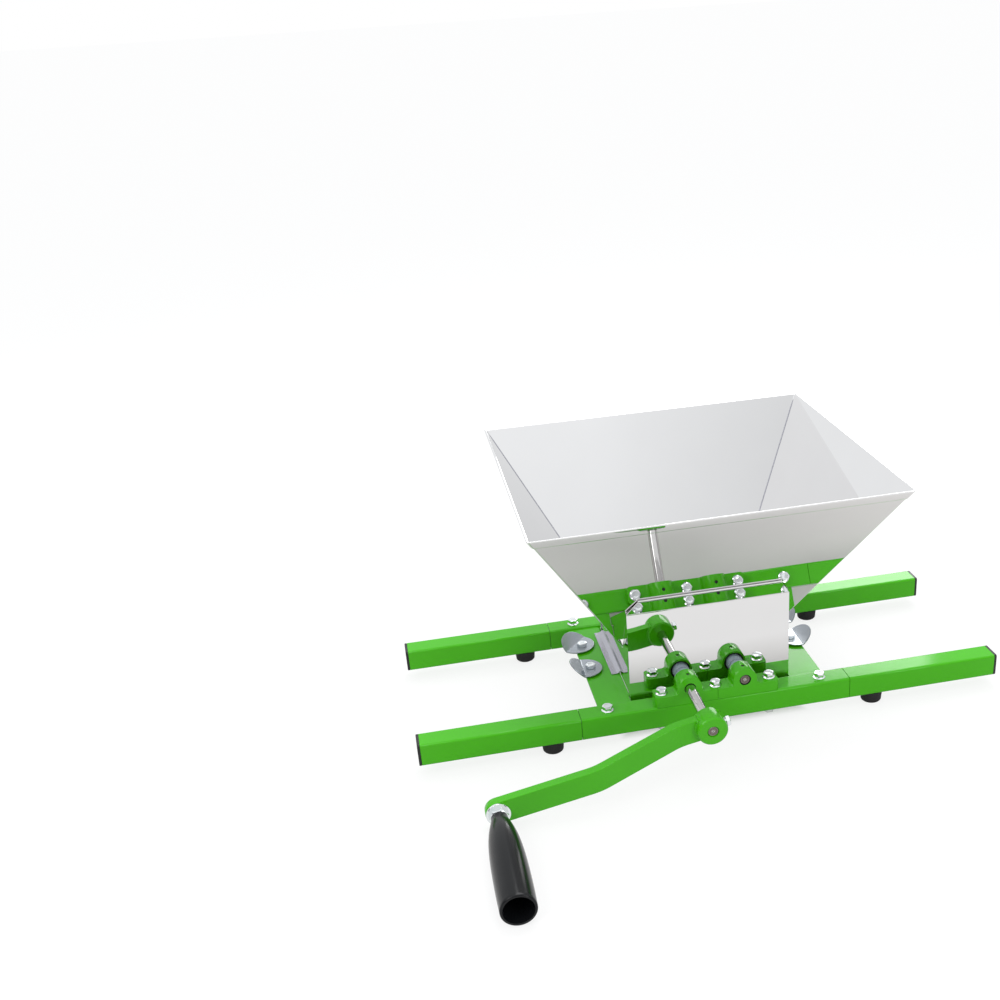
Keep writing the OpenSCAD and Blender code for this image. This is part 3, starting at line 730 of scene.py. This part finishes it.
class SCRATTER_OT_hopper(bpy.types.Operator):
    """Fold the four hopper walls with their rolled rim and welded corners"""
    bl_idname = "scratter.hopper"
    bl_label = "Hopper"

    def execute(self, context):
        bm = bmesh.new()
        low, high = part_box("hopper_rear_wall")
        bottom, top = low.z / MM, high.z / MM
        inner_face, roll = -1.38, 1.44
        front_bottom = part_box("hopper_front_wall")[0].z / MM
        rolled = [
            (inner_face + roll - roll * math.cos(a), top - roll + roll * math.sin(a))
            for a in (math.pi * k / 8 for k in range(9))
        ]
        hem = [(HEM, 8.8), (1.42, 9.4), (1.2, 9.8), (0.9, 9.97), (0.5, 10), (0.3, 9.8),
               (0.02, 9.5), (0, 10.2)]
        rows = [(inner_face, bottom), (inner_face, front_bottom), *rolled,
                *((offset, top - below) for offset, below in hem), (0, front_bottom), (0, bottom)]
        rings = [[bm.verts.new(p) for p in hopper_loop(o, z)] for o, z in rows]
        count = len(rings[0])
        # The front wall ends higher than the others, so its lowest rows are left open here
        front = CORNER - 1
        lowest = ((0, 1), (len(rows) - 2, len(rows) - 1), (len(rows) - 1, 0))
        for k in range(len(rows)):
            after = (k + 1) % len(rows)
            for i in range(count):
                j = (i + 1) % count
                if i == front and (k, after) in lowest:
                    continue
                bm.faces.new((rings[k][i], rings[k][j], rings[after][j], rings[after][i]))
        inner, outer = rings[1], rings[-2]
        bm.faces.new((inner[front], inner[front + 1], outer[front + 1], outer[front]))
        for m in (front, front + 1):
            bm.faces.new((rings[0][m], inner[m], outer[m], rings[-1][m]))
        piece("folded_hopper", bm, "mirror", "frame", (
            "hopper_front_wall", "hopper_rear_wall", "hopper_left_wall", "hopper_right_wall"),
            flat=True)
        bm = bmesh.new()
        for corner in range(4):
            m = corner * CORNER + CORNER // 2
            ends = [hopper_loop(inner_face, z)[m] for z in (front_bottom + 1, top - 6)]
            bead(bm, ends, 0.5, ripple=0.10, pitch=1.2)
        piece("hopper_corner_welds", bm, "brushed", "frame")
        return {"FINISHED"}


class SCRATTER_OT_chamber(bpy.types.Operator):
    """Fold the front plate, the skirts and their strips, and polish the rear plate"""
    bl_idname = "scratter.chamber"
    bl_label = "Chamber plates"

    def execute(self, context):
        self.front_plate()
        dress(("rear_apron",), "mirror", 0.35)
        self.skirts()
        return {"FINISHED"}

    def front_plate(self):
        low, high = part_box("front_apron")
        half, foot, lean_top = high.x / MM, low.z / MM, 18.0
        fold = high.z / MM - 1.5 - lean_top
        shaft = middle("drive_shaft").z / MM
        lean = math.atan(wall_run()) - math.radians(3)
        slots, slot_half = [], 6.5
        for x in SHAFTS:
            slots.append((foot, x - slot_half))
            slots += [(shaft + slot_half * math.sin(a), x - slot_half * math.cos(a))
                      for a in (math.pi * k / 12 for k in range(13))]
            slots.append((foot, x + slot_half))
        reach = fold + (lean_top - SHEET) / math.cos(lean)
        narrow = half - 11
        outline = [(foot, -half), *slots, (foot, half), (fold, half), (reach, narrow),
                   (reach, -narrow), (fold, -half)]
        flat = bmesh.new()
        prism(flat, outline, 0, SHEET, lambda u, v, h: Vector((u, v, h)))
        fold_up(flat, fold, lean, 6.0)
        placed(flat, Vector((0, at(0, PLATE_FACE, 0).y, 0)), (0, 0, 1), (1, 0, 0), (0, -1, 0))
        bm = bmesh.new()
        added(bm, flat)
        flange = [(PLATE_FACE, foot), (-74.8, foot), (-74.8, 126.2), (-80.9, fold),
                  (PLATE_FACE, fold)]
        for side in (-1, 1):
            prism(bm, flange, side * (half - SHEET), side * half, lambda u, v, x: at(x, u, v))
        piece("folded_front_plate", bm, "mirror", "frame", ("front_apron",), 0.25, flat=True)
        bm = bmesh.new()
        y = PLATE_FACE - SHEET - lean_top * math.tan(lean) + SHEET / math.cos(lean) - 0.55
        turned(bm, at(-narrow, y, fold + lean_top), (1, 0, 0), [
            (0, 0.7), (0.3, 0.95), (2 * narrow - 0.3, 0.95), (2 * narrow, 0.7)], 20)
        piece("rolled_plate_edge", bm, "bright_edge", "frame")

    def skirts(self):
        walls, strips = bmesh.new(), bmesh.new()
        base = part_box("right_cross_plate")[1].z / MM
        foot, fold = base + 0.5, base + 2.5
        top, ear_top = 79.5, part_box("right_skirt")[1].z / MM
        ear_low, ear_high = (wall_run() * (RIM_TOP - z) - RIM_HALF for z in (top, ear_top))
        outline = [(PLATE_FACE, foot), (PLATE_FACE, ear_top), (ear_high, ear_top), (ear_low, top),
                   (-PLATE_FACE, top), (-PLATE_FACE, foot), (STRIP_REAR, foot),
                   (STRIP_REAR, fold), (STRIP_FRONT, fold), (STRIP_FRONT, foot)]
        section = strip_section(base)
        for side in (-1, 1):
            prism(walls, outline, side * (CHAMBER_HALF - SHEET), side * CHAMBER_HALF,
                  lambda u, v, x: at(x, u, v))
            prism(strips, section, STRIP_FRONT, STRIP_REAR,
                  lambda u, v, y, side=side: at(side * u, y, v))
        piece("skirt_walls", walls, "mirror", "frame", ("left_skirt", "right_skirt"), 0.2,
              flat=True)
        piece("skirt_strips", strips, "brushed", "frame", edge=0.2, flat=True)


class SCRATTER_OT_lock_discs(bpy.types.Operator):
    """Bend the four lock discs, each turned as in the photograph"""
    bl_idname = "scratter.lock_discs"
    bl_label = "Lock discs"

    def execute(self, context):
        turns = (("front_left", 178), ("rear_left", 138), ("front_right", -1), ("rear_right", 20))
        eccentric, fold, lip, bend_radius = 7, 9.2, math.radians(37), 3.5
        rim = [(0, 19.6), (0.12, 19.88), (0.4, 20), (1.1, 20), (1.38, 19.88), (1.5, 19.6)]
        for (side, turn), (x, y) in zip(turns, disc_spots()):
            a = math.radians(turn)
            node = side + "_lock_disc"
            bm = bmesh.new()
            turned(bm, Vector((eccentric * MM, 0, 0)), (0, 0, 1), rim, 72)
            bm.transform(Matrix.Scale(1 / MM, 4))
            fold_up(bm, fold, lip, bend_radius)
            origin = Vector((x, y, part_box(node)[0].z))
            placed(bm, origin, (math.cos(a), math.sin(a), 0), (-math.sin(a), math.cos(a), 0),
                   (0, 0, 1))
            piece(side + "_bent_disc", bm, "dull", side + "_disc", (node,), flat=True)
        return {"FINISHED"}


class SCRATTER_OT_rollers(bpy.types.Operator):
    """Give the rollers a cast skin and the shafts a ground one"""
    bl_idname = "scratter.rollers"
    bl_label = "Rollers and shafts"

    def execute(self, context):
        dress(("drive_roller", "driven_roller"), "cast", 0.9)
        dress(("drive_shaft", "driven_shaft", "drive_roller_pins", "driven_roller_pins"),
              "ground", 0.2)
        for name, body in (("drive_shaft", "crank"), ("driven_shaft", "driven")):
            centre, (low, high) = middle(name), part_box(name)
            bm = bmesh.new()
            for y, out in ((low.y, -1), (high.y, 1)):
                turned(bm, Vector((centre.x, y, centre.z)), (0, out, 0), [
                    (-0.05, 1.6), (-0.05, 5.0), (0.04, 4.9), (0.04, 3.6), (0, 3.5), (0, 3.2),
                    (0.04, 3.1), (0.04, 1.7), (0, 1.6)], 48, closed=True)
            piece(name + "_ends", bm, "turned_end", body)
        return {"FINISHED"}


class SCRATTER_OT_crank(bpy.types.Operator):
    """Paint the crank and weld its arm to the hub"""
    bl_idname = "scratter.crank"
    bl_label = "Crank"

    def execute(self, context):
        sizes = context.scene.scratter_sizes
        dress(("crank_hub", "crank_arm"), "paint", 1.0)
        bm = bmesh.new()
        # The bead runs round the arm's root on the hub: heights above the arm's middle, and Y
        half, near, far, hub_radius = 12.0, -191.0, -181.0, 15.4
        ring = [(h, y) for h, y in (
            *((half, near + (far - near) * k / 5) for k in range(6)),
            *((half - 2 * half * k / 10, far) for k in range(1, 11)),
            *((-half, far - (far - near) * k / 5) for k in range(1, 6)),
            *((-half + 2 * half * k / 10, near) for k in range(1, 10)),
        )]
        path = [crank_point(math.sqrt(hub_radius ** 2 - h * h), y, h) for h, y in ring]
        bead(bm, path, sizes.weld, closed=True)
        piece("hub_weld", bm, "paint", "crank")
        dress(("hub_set_screw", "grip_bolt", "grip_washer", "grip_nut"), "zinc", 0.2)
        return {"FINISHED"}


class SCRATTER_OT_grip(bpy.types.Operator):
    """Finish the hand grip"""
    bl_idname = "scratter.grip"
    bl_label = "Grip"

    def execute(self, context):
        low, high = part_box("grip")
        length, widest = (high.y - low.y) / MM, (high.x - low.x) / MM / 2
        share = [(0, 0.47), (0.04, 0.52), (0.10, 0.63), (0.18, 0.76), (0.28, 0.87), (0.40, 0.945),
                 (0.54, 0.985), (0.70, 1), (0.86, 0.995), (0.97, 0.975)]
        rows = [(0.0, 5.1), (0.0, 0.44 * widest)]
        rows += [(along * length, radius * widest) for along, radius in smooth_rows(share, 5)]
        end = 0.975 * widest
        rows += [(length - 1.6 + 1.6 * math.sin(a), end - 1.6 + 1.6 * math.cos(a))
                 for a in (math.pi / 2 * k / 6 for k in range(1, 7))]
        rows += [(length - 0.1, 14.3), (length - 0.6, 14.0), (length * 0.62, 13.8),
                 (length * 0.6, 13.0), (length * 0.6, 5.1)]
        bm = bmesh.new()
        turned(bm, Vector((middle("grip").x, high.y, middle("grip").z)), (0, -1, 0), rows, 72,
               closed=True)
        piece("turned_grip", bm, "grip", "grip", ("grip",), sharp=50)
        return {"FINISHED"}


class SCRATTER_OT_feet(bpy.types.Operator):
    """Finish the rubber feet and the end caps"""
    bl_idname = "scratter.feet"
    bl_label = "Feet and caps"

    def execute(self, context):
        dress(("rubber_feet",), "rubber", 0.6)
        dress(("leg_end_caps",), "cap", 0.8)
        return {"FINISHED"}


class SCRATTER_OT_stage(bpy.types.Operator):
    """Set the pale floor, the soft light all round, the lamps and the camera"""
    bl_idname = "scratter.stage"
    bl_label = "Stage"

    def execute(self, context):
        studio = context.scene.scratter_studio
        self.floor(studio)
        self.world(context.scene, studio)
        self.lamps(context.scene, studio)
        self.camera(context.scene)
        context.scene.view_settings.view_transform = "Standard"
        return {"FINISHED"}

    def floor(self, studio):
        bm = bmesh.new()
        bmesh.ops.create_grid(bm, x_segments=8, y_segments=8, size=60)
        mesh = bpy.data.meshes.new("floor")
        bm.to_mesh(mesh)
        bm.free()
        floor = bpy.data.objects.new("floor", mesh)
        bpy.context.scene.collection.objects.link(floor)
        material = bpy.data.materials.new("pale_floor")
        material.use_nodes = True
        g = Graph(material.node_tree)
        camera = g.node("ShaderNodeLightPath", out="Is Camera Ray")
        outputs = camera.socket.node.outputs
        glossy, clear = (Value(g, outputs[n]) for n in ("Is Glossy Ray", "Is Transmission Ray"))
        level = studio.floor
        shade = g.blend(camera, (level, level * 0.96, level * 0.94, 1), (1, 1, 1, 1))
        lit = g.node("ShaderNodeBsdfDiffuse", None, {"Color": shade})
        glow = g.node("ShaderNodeEmission", None, {"Color": (1, 1, 1, 1), "Strength": 1.0})
        place = g.node("ShaderNodeNewGeometry", out="Position")
        across, along = g.parts(place, "X", "Y")
        off_side, off_end = abs(across), abs(along - SET_BACK)
        # Painted shadow: the glow fades under the chamber, and mirrors see the floor near the
        # object as dim
        outside_painted_shadow = g.remap(off_side.at_least(off_end), 0.080, 0.105, 0.0, 1.0)
        far = g.remap((off_side - 0.12).at_least(off_end), 0.17, 0.24, 0.28, 0.95)
        share = ((camera + clear) * 0.82 + glossy * far).at_most(1.0) * outside_painted_shadow
        both = g.node("ShaderNodeMixShader", None, {0: share, 1: lit, 2: glow})
        g.node("ShaderNodeOutputMaterial", None, {"Surface": both})
        floor.data.materials.append(material)

    def world(self, scene, studio):
        world = bpy.data.worlds.new("studio")
        scene.world = world
        world.use_nodes = True
        g = Graph(world.node_tree)
        way = g.node("ShaderNodeTexCoord", out="Generated")
        across, depth, height = g.parts(way, "X", "Y", "Z")
        camera = g.node("ShaderNodeLightPath", out="Is Camera Ray")
        glossy = Value(g, camera.socket.node.outputs["Is Glossy Ray"])
        soft = g.remap(height, 0.0, 0.9, 0.50, 1.45) + g.remap(depth, 0.1, 0.9, 0.0, 0.30)
        # What the polished sheet mirrors is pale overhead and dark low in front and at the sides
        low = g.remap(height, 0.20, 0.46, 1.0, 0.0)
        front = g.remap(depth, -0.40, 0.10, 1.0, 0.0) * low
        left = g.remap(across, -0.95, -0.60, 1.0, 0.0) * g.remap(height, 0.30, 0.80, 1.0, 0.0)
        right = g.remap(across, 0.65, 0.95, 0.0, 0.7) * g.remap(height, 0.25, 0.75, 1.0, 0.0)
        edge = g.remap(across, 0.16, 0.32, 0.0, 0.16) * g.remap(depth, -0.5, -0.2, 1.0, 0.0)
        dark = (front + left + right).at_most(1.0) * 0.62 + edge
        mirrored = g.remap(height, 0.55, 0.90, 1.03, 1.30) * (1.0 - dark.at_most(0.9))
        level = soft * (1.0 - glossy) * studio.sky + mirrored * glossy
        white, cool = (1, 1, 1, 1), (0.97, 0.985, 1, 1)
        seen = g.node("ShaderNodeBackground", None, {"Color": white, "Strength": 1.0})
        sky = g.node("ShaderNodeBackground", None, {"Color": cool, "Strength": level})
        both = g.node("ShaderNodeMixShader", None, {0: camera, 1: sky, 2: seen})
        g.node("ShaderNodeOutputWorld", None, {"Surface": both})

    def lamps(self, scene, studio):
        for name, place, size, power in (
            ("key lamp", (-1.3, -0.9, 1.2), 0.8, studio.key),
            ("top lamp", (0.25, 0.65, 1.80), 1.2, studio.top),
            ("rear lamp", (0.60, 1.40, 0.55), 0.65, studio.rear),
            ("front lamp", (0.95, -1.90, 0.62), 0.70, studio.front),
        ):
            light = bpy.data.lights.new(name, "AREA")
            light.energy, light.size, light.shape = power, size, "SQUARE"
            lamp = bpy.data.objects.new(name, light)
            scene.collection.objects.link(lamp)
            lamp.location = place
            aim = Vector((0, 0, 0.1)) - lamp.location
            lamp.rotation_euler = aim.to_track_quat("-Z", "Y").to_euler()

    def camera(self, scene):
        yaw, pitch, roll = (math.radians(a) for a in (9.91591, 25.49058, -3.59682))
        ahead = Vector((math.sin(yaw) * math.cos(pitch), math.cos(yaw) * math.cos(pitch),
                        -math.sin(pitch)))
        right = Vector((math.cos(yaw), -math.sin(yaw), 0))
        up = right.cross(ahead)
        right, up = (math.cos(roll) * right + math.sin(roll) * up,
                     math.cos(roll) * up - math.sin(roll) * right)
        data = bpy.data.cameras.new("camera")
        data.sensor_width, data.lens = 36, 43.635
        data.shift_x, data.shift_y = -0.099, 0.0745
        camera = bpy.data.objects.new("camera", data)
        scene.collection.objects.link(camera)
        turn = Matrix((right, up, -ahead)).transposed()
        camera.matrix_world = Matrix.Translation(at(-304.453, -1173.579, 714.869)) @ turn.to_4x4()
        scene.camera = camera


class SCRATTER_PT_panel(bpy.types.Panel):
    """Settings and steps of the scratter"""
    bl_idname = "SCRATTER_PT_panel"
    bl_label = "Apple scratter"
    bl_space_type = "VIEW_3D"
    bl_region_type = "UI"
    bl_category = "Scratter"

    def draw(self, context):
        for group in ("scratter_looks", "scratter_sizes", "scratter_studio"):
            settings = getattr(context.scene, group)
            box = self.layout.box()
            for name in settings.__annotations__:
                box.prop(settings, name)
        for step in STEPS:
            self.layout.operator(step.bl_idname)


STEPS = (
    SCRATTER_OT_stage, SCRATTER_OT_frame, SCRATTER_OT_bearings, SCRATTER_OT_fasteners,
    SCRATTER_OT_hopper, SCRATTER_OT_chamber, SCRATTER_OT_lock_discs, SCRATTER_OT_rollers,
    SCRATTER_OT_crank, SCRATTER_OT_grip, SCRATTER_OT_feet,
)
SETTINGS = {
    "scratter_looks": ScratterLooks,
    "scratter_sizes": ScratterSizes,
    "scratter_studio": ScratterStudio,
}


def register():
    for kind in (*SETTINGS.values(), *STEPS, SCRATTER_PT_panel):
        bpy.utils.register_class(kind)
    for name, kind in SETTINGS.items():
        setattr(bpy.types.Scene, name, PointerProperty(type=kind))


def unregister():
    for name in SETTINGS:
        delattr(bpy.types.Scene, name)
    for kind in reversed((*SETTINGS.values(), *STEPS, SCRATTER_PT_panel)):
        bpy.utils.unregister_class(kind)


def main():
    register()
    for step in STEPS:
        group, name = step.bl_idname.split(".")
        getattr(getattr(bpy.ops, group), name)()


if __name__ == "__main__":
    main()
